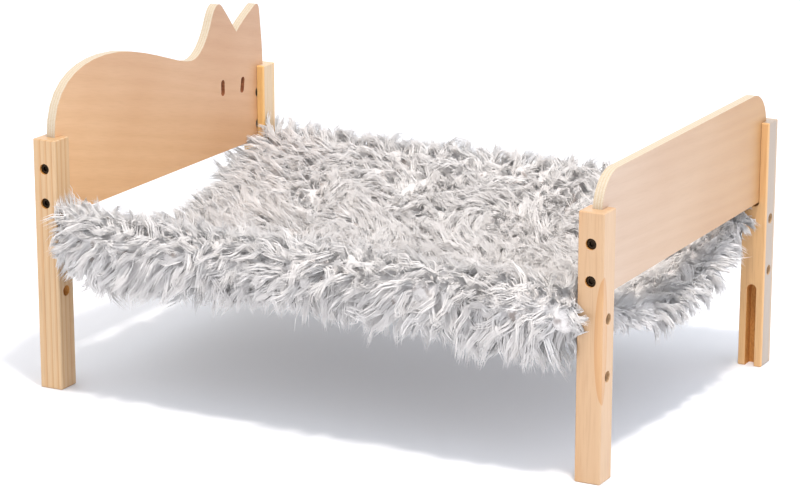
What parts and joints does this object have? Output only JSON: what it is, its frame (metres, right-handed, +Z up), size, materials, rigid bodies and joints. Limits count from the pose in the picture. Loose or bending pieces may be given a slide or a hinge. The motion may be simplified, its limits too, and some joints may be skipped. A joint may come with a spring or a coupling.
{
  "type": "cat hammock",
  "caption": "Low cat bed: a long-pile plush sling hung on rails between a lying-cat headboard and a round-cornered footboard, on grooved square posts.",
  "frame": {"origin": "on the floor under the middle of the bed", "axes": "+X from the headboard to the footboard, +Y from the front to the back, +Z up"},
  "size_m": [0.6, 0.453, 0.329],
  "materials": {
    "pine": "satin",
    "headboard_plywood": "satin",
    "footboard_plywood": "satin",
    "dowel": "satin",
    "black_bolt": "satin",
    "zinc": "satin",
    "backing": "matte",
    "plush": "matte"
  },
  "bodies": {
    "frame": {"front_left_post": "pine", "front_right_post": "pine", "back_left_post": "pine", "back_right_post": "pine", "headboard": "headboard_plywood", "footboard": "footboard_plywood", "headboard_bolts": "black_bolt", "footboard_bolts": "black_bolt", "headboard_barrel_nuts": "zinc", "footboard_barrel_nuts": "zinc", "front_rail": "dowel", "back_rail": "dowel", "front_rail_inserts": "zinc", "back_rail_inserts": "zinc", "front_rail_bolts": "black_bolt", "back_rail_bolts": "black_bolt", "front_pocket": "backing", "back_pocket": "backing", "front_pocket_plush": "plush", "back_pocket_plush": "plush"},
    "sling": {"sling_backing": "backing", "sling_plush": "plush", "left_hem": "backing", "right_hem": "backing"}
  },
  "joints": [
    {"name": "sling_give", "type": "slide", "parent": "frame", "child": "sling", "axis": [0, 0, 1], "range_m": [-0.03, 0], "stiffness_N_per_m": 1500, "springref_m": 0.0065}
  ]
}
